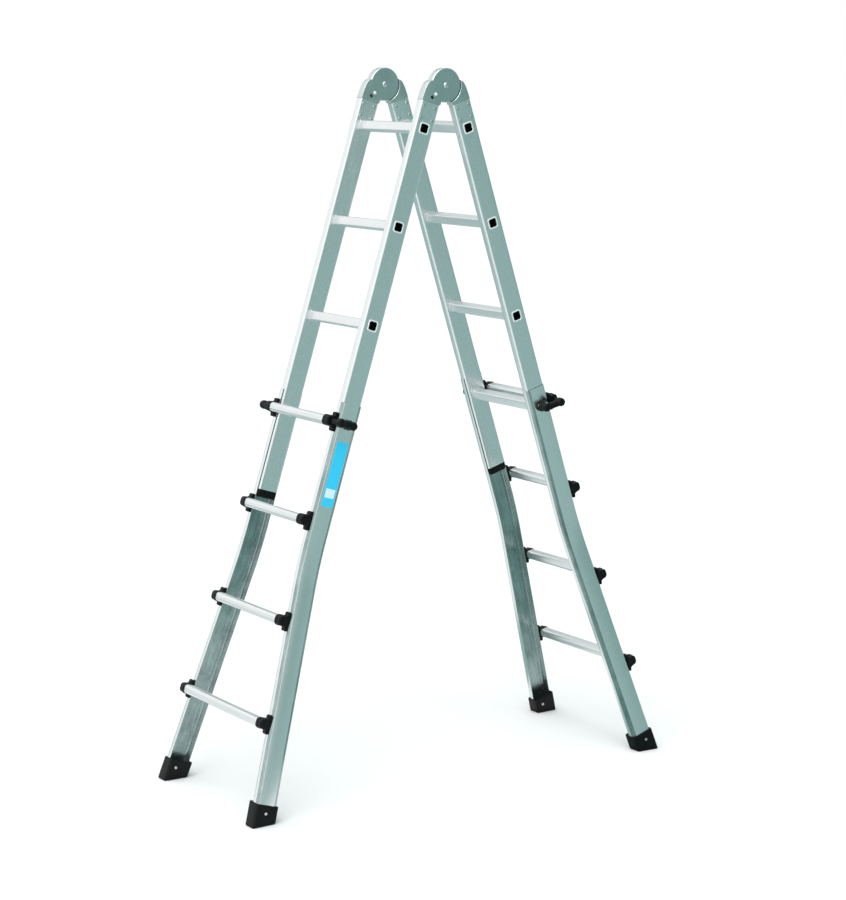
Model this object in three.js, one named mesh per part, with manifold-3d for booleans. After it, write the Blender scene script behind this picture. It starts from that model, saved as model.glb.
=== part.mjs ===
// A telescopic folding ladder standing as an A-frame. Millimetres, +Z up, origin on the
// floor midway between the four feet. Y runs along the rungs; the near side is -Y.
import * as THREE from 'three';
import { mergeVertices } from 'three/addons/utils/BufferGeometryUtils.js';
import Module from 'manifold-3d';

const wasm = await Module();
wasm.setup();

// ---- driving dimensions ----
const RUNG_PITCH = 280;            // distance between rungs along a leg
const HALF_ANGLE = 17.55;          // lean of each leg from the vertical, in degrees
const PIVOT_OFFSET = 34.5;         // hinge pivot to the centreline of a leg
const FIRST_RUNG = 133.5;          // hinge pivot to the top rung, along the leg
const UPPER_RUNGS = 4;
const LOWER_RUNGS = 4;
const SOLE_BELOW_LAST_RUNG = 266.5;
const GAP = 0.3;                   // clearance between pieces that touch

const UPPER_HALF_WIDTH = 171;      // outer face of an upper stile, from the middle plane
const STILE_DEPTH = 60;            // upper stile, across the rungs
const STILE_THICKNESS = 27;        // upper stile, along the rungs
const STILE_WALL = 2;
const STILE_CORNER = 6;
const STILE_TOP = 60;              // top end of an upper stile, below the pivot
const STILE_END = 1209;            // lower end of an upper stile
const GUIDE_CAP_HEIGHT = 28;
const GUIDE_PLUG_HEIGHT = 30;

const CHANNEL_RUNNING_GAP = 0.6;   // lower stile round the upper stile's edges
const CHANNEL_SIDE_GAP = 1.8;      // lower stile beside the upper stile's riveted face
const CHANNEL_WALL = 2.4;
const CHANNEL_CORNER = 10;
const CHANNEL_LIP = 151;           // inner edge of the flanges, from the middle plane
const CHANNEL_TOP = 916;
const FOOT_OVERLAP = 40;           // length of lower stile inside its foot
const FLARE_START = 1300;          // the lower stiles bend outwards here
const FLARE_END = 1440;
const FLARE_SLOPE = 0.142;
const FLARE_LEVELS = 7;

const RUNG_SIZE = 28;              // square upper rung
const RUNG_CORNER = 5;
const RUNG_WALL = 2;
const RIM_SIZE = 32;               // flared rim that clamps the rung to its stile
const RIM_THICKNESS = 1.1;

const LOWER_RUNG_OFFSET = 50.5;    // lower rung axis in front of the leg's centreline
const LOWER_RUNG_DEPTH = 30;       // across the rung, square to the front of the leg
const LOWER_RUNG_HEIGHT = 26;      // across the rung, along the leg
const LOWER_RUNG_CORNER = 9;
const LOWER_RUNG_WALL = 1.8;
const SLEEVE_END = 172;            // closed outer end of a connector, from the middle plane
const SLEEVE_LENGTH = 26;
const SLEEVE_WALL = 2.5;
const SLEEVE_END_WALL = 3;
const SADDLE_LENGTH = 54;          // connector's base along the stile
const SADDLE_HEIGHT = 5;

const FOOT_HALF_DEPTH = 36;
const FOOT_INNER = 133;
const FOOT_WALL = 4.5;
const FOOT_CORNER = 8;
const FOOT_HEIGHT = 57;
const FOOT_DEPTH_BELOW = 40;       // spare length that the floor plane cuts off

const HINGE_THICKNESS = 26;
const DISC_RADIUS = 47;
const RELIEF_RADIUS = 49.5;
const TONGUE_END = 117;
const PIVOT_RADIUS = 6.5;
const PIVOT_HEAD_RADIUS = 8.5;
const PIVOT_HEAD = 3;
const RIVET_RADIUS = 3;
const RIVET_HEAD_RADIUS = 5;
const RIVET_HEAD = 1.2;
const RIVET_ROWS = [72.5, 108];
const RIVET_SPREAD = 18.5;
const FOLDED_ANGLE = 0.3;          // angle between the legs when the feet meet
const LATCH_ANGLE = 37.5;          // latch direction from the leg's centreline, in degrees
const LATCH_WIDTH = 8.4;
const LATCH_INNER = 49.9;
const LATCH_OUTER = 62.2;
const LATCH_SLOT_INNER = 40;
const LATCH_SLOT_OUTER = 63;
const LATCH_STOPS = [FOLDED_ANGLE, 2 * HALF_ANGLE, 180];   // leg angles where the hinge locks

const LOCK_PIN_RADIUS = 7.5;
const LOCK_PIN_TIP = 173.6;
const LOCK_BOSS_RADIUS = 17;
const LOCK_BOSS_INNER = 181.2;
const LOCK_BOSS_OUTER = 190;
const LOCK_STUB_RADIUS = 10;
const LOCK_STUB_OUTER = 208;
const GUIDE_ROD_RADIUS = 7;
const GUIDE_ROD_TIP = 152;
const KNOB_RADIUS = 14;
const KNOB_INNER = 201;
const KNOB_OUTER = 221;
const LOCK_BAR_WIDTH = 14;
const LOCK_BAR_THICKNESS = 9;

// ---- facets ----
const TURNED_SEGMENTS = 12;
const DISC_SEGMENTS = 32;
const RIVET_SEGMENTS = 6;

// ---- derived dimensions ----
const ANGLE = THREE.MathUtils.degToRad(HALF_ANGLE);
const LOWER_FIRST_RUNG = FIRST_RUNG + (UPPER_RUNGS - 1) * RUNG_PITCH;
const SOLE = LOWER_FIRST_RUNG + (LOWER_RUNGS - 1) * RUNG_PITCH + SOLE_BELOW_LAST_RUNG;
const PIVOT_HEIGHT = SOLE * Math.cos(ANGLE) - PIVOT_OFFSET * Math.sin(ANGLE);
const STILE_CENTRE = UPPER_HALF_WIDTH - STILE_THICKNESS / 2;
const CHANNEL_HALF_DEPTH = STILE_DEPTH / 2 + CHANNEL_RUNNING_GAP + CHANNEL_WALL;
const CHANNEL_OUTER = UPPER_HALF_WIDTH + CHANNEL_SIDE_GAP + CHANNEL_WALL;
const FOOT_TOP = SOLE - FOOT_HEIGHT;
const CHANNEL_END = FOOT_TOP + FOOT_OVERLAP;

// ---- finishes ----
function finish(color, roughness, metalness) {
  return new THREE.MeshStandardMaterial({ color, roughness, metalness });
}

const ALUMINIUM = finish(0xa9b8ba, 0.35, 1);
const RUNG_ALUMINIUM = finish(0xdfe3e4, 0.4, 1);
const CASTING = finish(0x9fadb0, 0.5, 1);
const BLACK_PLASTIC = finish(0x18181a, 0.5, 0);
const STEEL = finish(0xc4c8ca, 0.3, 1);

// ---- solids ----
function toSolid(geometry) {
  const bare = geometry.clone();
  bare.deleteAttribute('normal');
  bare.deleteAttribute('uv');
  const merged = mergeVertices(bare, 1e-4);
  return new wasm.Manifold(new wasm.Mesh({
    numProp: 3,
    vertProperties: new Float32Array(merged.attributes.position.array),
    triVerts: new Uint32Array(merged.index.array),
  }));
}

function toGeometry(solid) {
  const mesh = solid.getMesh();
  const geometry = new THREE.BufferGeometry();
  geometry.setAttribute('position', new THREE.BufferAttribute(mesh.vertProperties, 3));
  geometry.setIndex(new THREE.BufferAttribute(mesh.triVerts, 1));
  geometry.computeVertexNormals();
  return geometry;
}

// Joins the first list of geometries and cuts the second list away.
function carve(added, removed = []) {
  let solid = toSolid(added[0]);
  for (const geometry of added.slice(1)) {
    solid = solid.add(toSolid(geometry));
  }
  for (const geometry of removed) {
    solid = solid.subtract(toSolid(geometry));
  }
  return toGeometry(solid);
}

function roundedRectangle(width, height, radius, centreX = 0, centreY = 0) {
  const shape = new THREE.Shape();
  const x = width / 2 - radius;
  const y = height / 2 - radius;
  const quarter = Math.PI / 2;
  shape.absarc(centreX + x, centreY + y, radius, 0, quarter);
  shape.absarc(centreX - x, centreY + y, radius, quarter, 2 * quarter);
  shape.absarc(centreX - x, centreY - y, radius, 2 * quarter, 3 * quarter);
  shape.absarc(centreX + x, centreY - y, radius, 3 * quarter, 4 * quarter);
  return shape;
}

// A prism of an outline drawn in XY, standing from zLow to zHigh.
function upright(shape, zLow, zHigh, curveSegments = 1) {
  const options = { depth: zHigh - zLow, bevelEnabled: false, curveSegments };
  const geometry = new THREE.ExtrudeGeometry(shape, options);
  geometry.translate(0, 0, zLow);
  return geometry;
}

// A prism of an outline drawn in XZ, running along Y from yLow to yHigh.
function crosswise(shape, yLow, yHigh, curveSegments = 1) {
  const options = { depth: yHigh - yLow, bevelEnabled: false, curveSegments };
  const geometry = new THREE.ExtrudeGeometry(shape, options);
  geometry.rotateX(Math.PI / 2);
  geometry.translate(0, yHigh, 0);
  return geometry;
}

function box(xLow, xHigh, yLow, yHigh, zLow, zHigh) {
  const geometry = new THREE.BoxGeometry(xHigh - xLow, yHigh - yLow, zHigh - zLow);
  geometry.translate((xLow + xHigh) / 2, (yLow + yHigh) / 2, (zLow + zHigh) / 2);
  return geometry;
}

// A turned piece on an axis along Y through (x, z). The profile lists [radius, y] pairs.
function turned(profile, x, z, segments = TURNED_SEGMENTS) {
  const points = profile.map(([radius, y]) => new THREE.Vector2(radius, y));
  const geometry = new THREE.LatheGeometry(points, segments);
  geometry.translate(x, 0, z);
  return geometry;
}

function cylinder(radius, y1, y2, x, z, segments = TURNED_SEGMENTS) {
  const low = Math.min(y1, y2);
  const high = Math.max(y1, y2);
  return turned([[0, low], [radius, low], [radius, high], [0, high]], x, z, segments);
}

// Each leg is drawn in its own frame: the hinge pivot is the origin, X points out of the
// front of the leg, Z points up along it, and every distance below the pivot is -z.
const LEG_X = PIVOT_OFFSET;

// Outward bend of the lower section at a distance below the pivot.
function flare(distance) {
  if (distance <= FLARE_START) {
    return 0;
  }
  const bend = FLARE_END - FLARE_START;
  if (distance < FLARE_END) {
    return FLARE_SLOPE * (distance - FLARE_START) ** 2 / (2 * bend);
  }
  return FLARE_SLOPE * (distance - (FLARE_START + FLARE_END) / 2);
}

function bendOutwards(geometry, side) {
  const position = geometry.attributes.position;
  for (let i = 0; i < position.count; i += 1) {
    position.setY(i, position.getY(i) + side * flare(-position.getZ(i)));
  }
  return geometry;
}

// ---- upper section ----
function rungOutline(size, corner, x, distance) {
  return roundedRectangle(size, size, corner, x, -distance);
}

function upperStile(side) {
  const centre = side * STILE_CENTRE;
  const outline = roundedRectangle(STILE_DEPTH, STILE_THICKNESS, STILE_CORNER, LEG_X, centre);
  const hollow = roundedRectangle(STILE_DEPTH - 2 * STILE_WALL, STILE_THICKNESS - 2 * STILE_WALL,
    STILE_CORNER - STILE_WALL, LEG_X, centre);
  outline.holes.push(hollow);
  const tube = upright(outline, -STILE_END, -STILE_TOP);
  const cuts = [];
  const yLow = centre - STILE_THICKNESS;
  const yHigh = centre + STILE_THICKNESS;
  for (let i = 0; i < UPPER_RUNGS; i += 1) {
    const distance = FIRST_RUNG + i * RUNG_PITCH;
    cuts.push(crosswise(rungOutline(RUNG_SIZE + 2 * GAP, RUNG_CORNER, LEG_X, distance), yLow, yHigh));
  }
  for (const distance of RIVET_ROWS) {
    for (const edge of [-1, 1]) {
      const x = LEG_X + edge * RIVET_SPREAD;
      cuts.push(cylinder(RIVET_RADIUS + GAP, yLow, yHigh, x, -distance, RIVET_SEGMENTS));
    }
  }
  return carve([tube], cuts);
}

// A hollow square rung with a rim on each face of both stiles.
function upperRung(index) {
  const distance = FIRST_RUNG + index * RUNG_PITCH;
  const rimEnd = UPPER_HALF_WIDTH + GAP + RIM_THICKNESS;
  const collarEnd = UPPER_HALF_WIDTH - STILE_THICKNESS - GAP;
  const outline = rungOutline(RUNG_SIZE, RUNG_CORNER, LEG_X, distance);
  const rim = rungOutline(RIM_SIZE, RUNG_CORNER + 2, LEG_X, distance);
  const bore = rungOutline(RUNG_SIZE - 2 * RUNG_WALL, RUNG_CORNER - RUNG_WALL, LEG_X, distance);
  const added = [crosswise(outline, -rimEnd, rimEnd)];
  for (const side of [-1, 1]) {
    const outer = side * (rimEnd - RIM_THICKNESS / 2);
    const inner = side * (collarEnd - RIM_THICKNESS / 2);
    added.push(crosswise(rim, outer - RIM_THICKNESS / 2, outer + RIM_THICKNESS / 2));
    added.push(crosswise(rim, inner - RIM_THICKNESS / 2, inner + RIM_THICKNESS / 2));
  }
  return carve(added, [crosswise(bore, -rimEnd - 1, rimEnd + 1)]);
}

function guideCap(side) {
  const centre = side * STILE_CENTRE;
  const rim = roundedRectangle(STILE_DEPTH, STILE_THICKNESS, STILE_CORNER, LEG_X, centre);
  const inset = 2 * (STILE_WALL + GAP);
  const plug = roundedRectangle(STILE_DEPTH - inset, STILE_THICKNESS - inset, STILE_CORNER - STILE_WALL,
    LEG_X, centre);
  return carve([
    upright(rim, -STILE_END - GUIDE_CAP_HEIGHT, -STILE_END - GAP),
    upright(plug, -STILE_END - 1, -STILE_END + GUIDE_PLUG_HEIGHT),
  ]);
}

// ---- lower section ----
// A C-shaped channel that opens towards the middle of the ladder.
function channelOutline(side) {
  const half = CHANNEL_HALF_DEPTH;
  const inset = CHANNEL_CORNER;
  const innerCorner = CHANNEL_CORNER - CHANNEL_WALL;
  const arcY = CHANNEL_OUTER - inset;
  const quarter = Math.PI / 2;
  const shape = new THREE.Shape();
  shape.moveTo(half, CHANNEL_LIP);
  shape.lineTo(half, arcY);
  shape.absarc(half - inset, arcY, CHANNEL_CORNER, 0, quarter);
  shape.absarc(inset - half, arcY, CHANNEL_CORNER, quarter, 2 * quarter);
  shape.lineTo(-half, CHANNEL_LIP);
  shape.lineTo(CHANNEL_WALL - half, CHANNEL_LIP);
  shape.absarc(inset - half, arcY, innerCorner, 2 * quarter, quarter, true);
  shape.absarc(half - inset, arcY, innerCorner, quarter, 0, true);
  shape.lineTo(half - CHANNEL_WALL, CHANNEL_LIP);
  const points = shape.getPoints(2).map((point) => new THREE.Vector2(point.x + LEG_X, side * point.y));
  return new THREE.Shape(points);
}

function channelLevels() {
  const levels = [CHANNEL_END];
  for (let i = FLARE_LEVELS; i >= 0; i -= 1) {
    levels.push(FLARE_START + (FLARE_END - FLARE_START) * i / FLARE_LEVELS);
  }
  levels.push(CHANNEL_TOP);
  return levels;
}

function lowerStile(side) {
  const levels = channelLevels();
  const steps = levels.length - 1;
  const options = { depth: steps, steps, bevelEnabled: false };
  const channel = new THREE.ExtrudeGeometry(channelOutline(side), options);
  const position = channel.attributes.position;
  for (let i = 0; i < position.count; i += 1) {
    position.setZ(i, -levels[Math.round(position.getZ(i))]);
  }
  bendOutwards(channel, side);
  const hole = cylinder(LOCK_PIN_RADIUS + 2 * GAP, side * (CHANNEL_OUTER - 10), side * (CHANNEL_OUTER + 10),
    LEG_X, -LOWER_FIRST_RUNG);
  return carve([channel], [hole]);
}

function lowerRungX() {
  return LEG_X + LOWER_RUNG_OFFSET;
}

function sleeveEnd(distance) {
  return SLEEVE_END + flare(distance);
}

// The lower rung's outline, grown all round by a margin.
function lowerRungOutline(distance, margin) {
  return roundedRectangle(LOWER_RUNG_DEPTH + 2 * margin, LOWER_RUNG_HEIGHT + 2 * margin,
    LOWER_RUNG_CORNER + margin, lowerRungX(), -distance);
}

function lowerRung(index) {
  const distance = LOWER_FIRST_RUNG + index * RUNG_PITCH;
  const end = sleeveEnd(distance) - SLEEVE_END_WALL - GAP;
  const outline = lowerRungOutline(distance, 0);
  outline.holes.push(lowerRungOutline(distance, -LOWER_RUNG_WALL));
  return crosswise(outline, -end, end, 2);
}

// A plastic end that holds a lower rung: a saddle on the front of the stile and a socket.
function rungConnector(index, side) {
  const distance = LOWER_FIRST_RUNG + index * RUNG_PITCH;
  const saddleX = LEG_X + CHANNEL_HALF_DEPTH + GAP;
  const halfHeight = LOWER_RUNG_HEIGHT / 2 + SLEEVE_WALL;
  const axisX = lowerRungX();
  const corner = LOWER_RUNG_CORNER + SLEEVE_WALL;
  const frontArcX = axisX + LOWER_RUNG_DEPTH / 2 + SLEEVE_WALL - corner;
  const outline = new THREE.Shape();
  outline.moveTo(saddleX, -distance - SADDLE_LENGTH / 2);
  outline.lineTo(saddleX + SADDLE_HEIGHT, -distance - SADDLE_LENGTH / 2 + 2);
  outline.quadraticCurveTo(saddleX + SADDLE_HEIGHT + 1, -distance - halfHeight, axisX, -distance - halfHeight);
  outline.absarc(frontArcX, -distance - halfHeight + corner, corner, -Math.PI / 2, 0);
  outline.absarc(frontArcX, -distance + halfHeight - corner, corner, 0, Math.PI / 2);
  outline.lineTo(axisX, -distance + halfHeight);
  outline.quadraticCurveTo(saddleX + SADDLE_HEIGHT + 1, -distance + halfHeight, saddleX + SADDLE_HEIGHT,
    -distance + SADDLE_LENGTH / 2 - 2);
  outline.lineTo(saddleX, -distance + SADDLE_LENGTH / 2);
  const outer = sleeveEnd(distance);
  const inner = outer - SLEEVE_LENGTH;
  const socket = lowerRungOutline(distance, GAP);
  const socketEnd = outer - SLEEVE_END_WALL;
  const ends = (low, high) => (side > 0 ? [low, high] : [-high, -low]);
  const cuts = [crosswise(socket, ...ends(inner - 1, socketEnd), 2)];
  if (index === 0) {
    cuts.push(cylinder(GUIDE_ROD_RADIUS + GAP, side * (socketEnd - 1), side * (outer + 1), axisX, -distance));
  }
  return carve([crosswise(outline, ...ends(inner, outer), 2)], cuts);
}

// The space that the channel and its hollow fill, with clearance all round.
function channelEnvelope(side) {
  const half = CHANNEL_HALF_DEPTH + GAP;
  const arcY = CHANNEL_OUTER - CHANNEL_CORNER;
  const shape = new THREE.Shape();
  shape.moveTo(half, CHANNEL_LIP - GAP);
  shape.lineTo(half, arcY);
  shape.absarc(half - GAP - CHANNEL_CORNER, arcY, CHANNEL_CORNER + GAP, 0, Math.PI / 2);
  shape.absarc(CHANNEL_CORNER + GAP - half, arcY, CHANNEL_CORNER + GAP, Math.PI / 2, Math.PI);
  shape.lineTo(-half, CHANNEL_LIP - GAP);
  const points = shape.getPoints(2).map((point) => new THREE.Vector2(point.x + LEG_X, side * point.y));
  return new THREE.Shape(points);
}

// A plastic shoe round the end of a lower stile, cut level with the floor.
function foot(side) {
  const outer = CHANNEL_OUTER + FOOT_WALL;
  const middle = side * (outer + FOOT_INNER) / 2;
  const block = roundedRectangle(2 * FOOT_HALF_DEPTH, outer - FOOT_INNER, FOOT_CORNER, LEG_X, middle);
  const belowSole = box(-200, 200, -500, 500, -200, 0);
  belowSole.rotateY(ANGLE);
  belowSole.translate(LEG_X, 0, -SOLE);
  const geometry = carve(
    [upright(block, -SOLE - FOOT_DEPTH_BELOW, -FOOT_TOP, 2)],
    [upright(channelEnvelope(side), -CHANNEL_END - GAP, -FOOT_TOP + 1), belowSole],
  );
  return bendOutwards(geometry, side);
}

// A locking handle: a pin through the stile, a guide rod in the end of the rung, and a bar.
function lockHandle(side) {
  const z = -LOWER_FIRST_RUNG;
  const pinX = LEG_X;
  const knobX = lowerRungX();
  const rounding = 3;
  const rounded = (radius, inner, outer, x) => {
    const profile = [[0, inner], [radius - 1, inner], [radius, inner + 1],
      [radius, outer - rounding], [radius - rounding, outer], [0, outer]];
    const placed = profile.map(([r, y]) => [r, side * y]);
    return turned(side > 0 ? placed : placed.reverse(), x, z);
  };
  const stubMiddle = (LOCK_BOSS_OUTER + LOCK_STUB_OUTER) / 2;
  const knobMiddle = (KNOB_INNER + KNOB_OUTER) / 2;
  const length = Math.hypot(knobX - pinX, knobMiddle - stubMiddle);
  const bar = new THREE.BoxGeometry(length, LOCK_BAR_THICKNESS, LOCK_BAR_WIDTH);
  bar.rotateZ(side * Math.atan2(knobMiddle - stubMiddle, knobX - pinX));
  bar.translate((pinX + knobX) / 2, side * (stubMiddle + knobMiddle) / 2, z);
  return carve([
    cylinder(LOCK_PIN_RADIUS, side * LOCK_PIN_TIP, side * (LOCK_BOSS_INNER + 1), pinX, z),
    cylinder(GUIDE_ROD_RADIUS, side * GUIDE_ROD_TIP, side * (KNOB_INNER + 1), knobX, z),
    rounded(LOCK_BOSS_RADIUS, LOCK_BOSS_INNER, LOCK_BOSS_OUTER, pinX),
    rounded(LOCK_STUB_RADIUS, LOCK_BOSS_OUTER - 2, LOCK_STUB_OUTER, pinX),
    rounded(KNOB_RADIUS, KNOB_INNER, KNOB_OUTER, knobX),
    bar,
  ]);
}

// ---- hinges ----
// The outline of a hinge half above the top of its stile.
function shoulderOutline() {
  const front = LEG_X + STILE_DEPTH / 2 - 0.5;
  const back = LEG_X - STILE_DEPTH / 2 + 0.5;
  const bottom = GAP - STILE_TOP;
  const top = -2 * GAP;
  const shape = new THREE.Shape();
  shape.moveTo(front, bottom);
  shape.quadraticCurveTo(front - 1, -12, 54, -5);
  shape.lineTo(RELIEF_RADIUS, top);
  shape.lineTo(10, top);
  shape.lineTo(2, -RELIEF_RADIUS);
  shape.lineTo(2, -56);
  shape.lineTo(back, bottom);
  return shape;
}

// A slot along the latch's direction, through the full thickness of the hinge.
function latchSlot(centre, inner, outer, width) {
  const half = HINGE_THICKNESS / 2 + 1;
  const slot = box(-width / 2, width / 2, centre - half, centre + half, -outer, -inner);
  slot.rotateY(-THREE.MathUtils.degToRad(LATCH_ANGLE));
  return slot;
}

function rivet(centre, x, distance) {
  const grip = STILE_THICKNESS / 2 + GAP / 2;
  const top = grip + RIVET_HEAD;
  const profile = [[0, -top], [RIVET_HEAD_RADIUS, -top], [RIVET_HEAD_RADIUS, -grip], [RIVET_RADIUS, -grip],
    [RIVET_RADIUS, grip], [RIVET_HEAD_RADIUS, grip], [RIVET_HEAD_RADIUS, top], [0, top]];
  return turned(profile.map(([r, y]) => [r, y + centre]), x, -distance, RIVET_SEGMENTS);
}

// Each half has a disc on its own +Y layer, and is full thickness beyond the other's disc.
function hingeHalf(side, isLatchHalf) {
  const centre = side * STILE_CENTRE;
  const low = centre - HINGE_THICKNESS / 2;
  const high = centre + HINGE_THICKNESS / 2;
  const shoulder = toSolid(crosswise(shoulderOutline(), low, high, 3));
  const relief = toSolid(cylinder(RELIEF_RADIUS, low - 1, centre + GAP / 2, 0, 0, DISC_SEGMENTS));
  const disc = cylinder(DISC_RADIUS, centre + GAP / 2, high, 0, 0, DISC_SEGMENTS);
  const inset = 2 * (STILE_WALL + GAP);
  const tongue = roundedRectangle(STILE_DEPTH - inset, STILE_THICKNESS - inset, STILE_CORNER - STILE_WALL,
    LEG_X, centre);
  const added = [
    toGeometry(shoulder.subtract(relief)),
    disc,
    upright(tongue, -TONGUE_END, -STILE_TOP + 2),
  ];
  for (const distance of RIVET_ROWS) {
    for (const edge of [-1, 1]) {
      added.push(rivet(centre, LEG_X + edge * RIVET_SPREAD, distance));
    }
  }
  const cuts = [cylinder(PIVOT_RADIUS + GAP, low - 1, high + 1, 0, 0, TURNED_SEGMENTS)];
  if (isLatchHalf) {
    cuts.push(latchSlot(centre, LATCH_SLOT_INNER, LATCH_SLOT_OUTER, LATCH_WIDTH + 2 * GAP));
  } else {
    for (const stop of LATCH_STOPS) {
      const notch = latchSlot(centre, LATCH_SLOT_INNER, DISC_RADIUS + 1, LATCH_WIDTH + 2 * GAP);
      notch.scale(-1, 1, 1);
      notch.rotateY(THREE.MathUtils.degToRad(stop));
      cuts.push(flipFaces(notch));
    }
  }
  return carve(added, cuts);
}

// Turns a mirrored geometry's faces back to the outside.
function flipFaces(geometry) {
  const flipped = geometry.toNonIndexed();
  const array = flipped.attributes.position.array;
  for (let i = 0; i < array.length; i += 9) {
    for (let axis = 0; axis < 3; axis += 1) {
      const kept = array[i + 3 + axis];
      array[i + 3 + axis] = array[i + 6 + axis];
      array[i + 6 + axis] = kept;
    }
  }
  return flipped;
}

function pivotBolt(side) {
  const centre = side * STILE_CENTRE;
  const grip = HINGE_THICKNESS / 2 + GAP;
  const top = grip + PIVOT_HEAD;
  const profile = [[0, -top], [PIVOT_HEAD_RADIUS - 1, -top], [PIVOT_HEAD_RADIUS, 1 - top],
    [PIVOT_HEAD_RADIUS, -grip], [PIVOT_RADIUS, -grip], [PIVOT_RADIUS, grip], [PIVOT_HEAD_RADIUS, grip],
    [PIVOT_HEAD_RADIUS, top - 1], [PIVOT_HEAD_RADIUS - 1, top], [0, top]];
  return turned(profile.map(([r, y]) => [r, y + centre]), 0, 0, TURNED_SEGMENTS);
}

// A bolt that slides towards the pivot, with a thumb button on the outer face.
function hingeLatch(side) {
  const centre = side * STILE_CENTRE;
  const half = HINGE_THICKNESS / 2 - GAP;
  const edge = LATCH_WIDTH / 2;
  const bolt = box(-edge, edge, centre - half, centre + half, -LATCH_OUTER, -LATCH_INNER);
  const buttonZ = -(LATCH_INNER + LATCH_OUTER) / 2;
  const face = side * UPPER_HALF_WIDTH;
  const button = cylinder(edge + 1.5, face + side * GAP, face + side * 4.5, 0, buttonZ);
  const neck = cylinder(edge - 0.5, face - side * 3, face + side, 0, buttonZ);
  const geometry = carve([bolt, button, neck]);
  geometry.rotateY(-THREE.MathUtils.degToRad(LATCH_ANGLE));
  return geometry;
}

// ---- assembly ----
const ladder = new THREE.Group();

function addLeg(legName, turn) {
  const pivot = new THREE.Group();
  pivot.position.z = PIVOT_HEIGHT;
  pivot.rotation.z = turn;
  const leg = new THREE.Group();
  leg.rotation.y = -ANGLE;
  pivot.add(leg);
  ladder.add(pivot);

  const add = (name, geometry, material) => {
    const mesh = new THREE.Mesh(geometry, material);
    mesh.name = name;
    leg.add(mesh);
  };
  const sides = turn === 0 ? { near: -1, far: 1 } : { near: 1, far: -1 };

  for (let i = 0; i < UPPER_RUNGS; i += 1) {
    add(`${legName}_upper_rung_${i + 1}`, upperRung(i), RUNG_ALUMINIUM);
  }
  for (let i = 0; i < LOWER_RUNGS; i += 1) {
    add(`${legName}_lower_rung_${i + 1}`, lowerRung(i), RUNG_ALUMINIUM);
  }
  for (const [sideName, side] of Object.entries(sides)) {
    add(`${legName}_${sideName}_upper_stile`, upperStile(side), ALUMINIUM);
    add(`${legName}_${sideName}_guide_cap`, guideCap(side), BLACK_PLASTIC);
    add(`${legName}_${sideName}_lower_stile`, lowerStile(side), ALUMINIUM);
    add(`${legName}_${sideName}_foot`, foot(side), BLACK_PLASTIC);
    add(`${legName}_${sideName}_lock_handle`, lockHandle(side), BLACK_PLASTIC);
    for (let i = 0; i < LOWER_RUNGS; i += 1) {
      add(`${legName}_${sideName}_rung_connector_${i + 1}`, rungConnector(i, side), BLACK_PLASTIC);
    }
    add(`${sideName}_hinge_${legName}_half`, hingeHalf(side, legName === 'left'), CASTING);
    if (legName === 'left') {
      add(`${sideName}_hinge_pivot_bolt`, pivotBolt(side), STEEL);
      add(`${sideName}_hinge_latch`, hingeLatch(side), STEEL);
    }
  }
}

addLeg('right', 0);
addLeg('left', Math.PI);

export default ladder;
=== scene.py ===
import math

import bmesh
import bpy
import numpy as np
from mathutils import Matrix, Vector

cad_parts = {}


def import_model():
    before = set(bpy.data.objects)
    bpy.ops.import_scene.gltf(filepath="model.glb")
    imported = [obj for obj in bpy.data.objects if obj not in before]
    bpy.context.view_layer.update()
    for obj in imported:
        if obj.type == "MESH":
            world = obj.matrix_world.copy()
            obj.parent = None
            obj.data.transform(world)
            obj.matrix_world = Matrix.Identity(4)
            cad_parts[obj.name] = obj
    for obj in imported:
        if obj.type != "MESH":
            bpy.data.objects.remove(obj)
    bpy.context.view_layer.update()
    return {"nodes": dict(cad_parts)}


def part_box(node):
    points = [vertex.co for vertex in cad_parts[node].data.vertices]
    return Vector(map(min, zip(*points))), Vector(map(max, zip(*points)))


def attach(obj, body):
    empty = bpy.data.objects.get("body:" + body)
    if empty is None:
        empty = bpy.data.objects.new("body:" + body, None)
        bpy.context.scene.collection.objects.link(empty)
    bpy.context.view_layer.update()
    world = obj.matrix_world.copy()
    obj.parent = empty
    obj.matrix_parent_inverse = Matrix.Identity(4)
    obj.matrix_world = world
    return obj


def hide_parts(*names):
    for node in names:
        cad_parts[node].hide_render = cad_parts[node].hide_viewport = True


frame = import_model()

# A telescopic folding ladder. Metres, +Z up. Each piece is drawn in its leg's own frame: the
# origin is the hinge pivot, X points out of the front of the leg, Y runs along the rungs, and
# Z points up along the leg, so a distance below the pivot is -z.
MM = 0.001
LEG_NAMES = ("left", "right")
SIDE_NAMES = ("near", "far")
RUNG_NUMBERS = (1, 2, 3, 4)


# ---- the leg's own frame ----
def centre(node):
    low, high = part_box(node)
    return (low + high) / 2


PIVOT = (centre("near_hinge_pivot_bolt") + centre("far_hinge_pivot_bolt")) / 2


def leg_matrix(leg):
    up = (centre(f"{leg}_upper_rung_1") - centre(f"{leg}_upper_rung_4")).normalized()
    along_rungs = Vector((0, 1 if leg == "right" else -1, 0))
    out = along_rungs.cross(up)
    return Matrix.Translation(PIVOT) @ Matrix((out, along_rungs, up)).transposed().to_4x4()


LEGS = {leg: leg_matrix(leg) for leg in LEG_NAMES}


def side_sign(leg, side):
    """-1 or 1: the side of the leg's own Y axis that a stile is on."""
    return -1 if (leg == "right") == (side == "near") else 1


def local_points(node, leg="right"):
    """A CAD node's vertices in its leg's own frame."""
    vertices = frame["nodes"][node].data.vertices
    co = np.array([v.co for v in vertices], float)
    inverse = np.array(LEGS[leg].inverted())
    return co @ inverse[:3, :3].T + inverse[:3, 3]


def local_box(node, leg="right"):
    points = local_points(node, leg)
    return Vector(points.min(0)), Vector(points.max(0))


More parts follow.
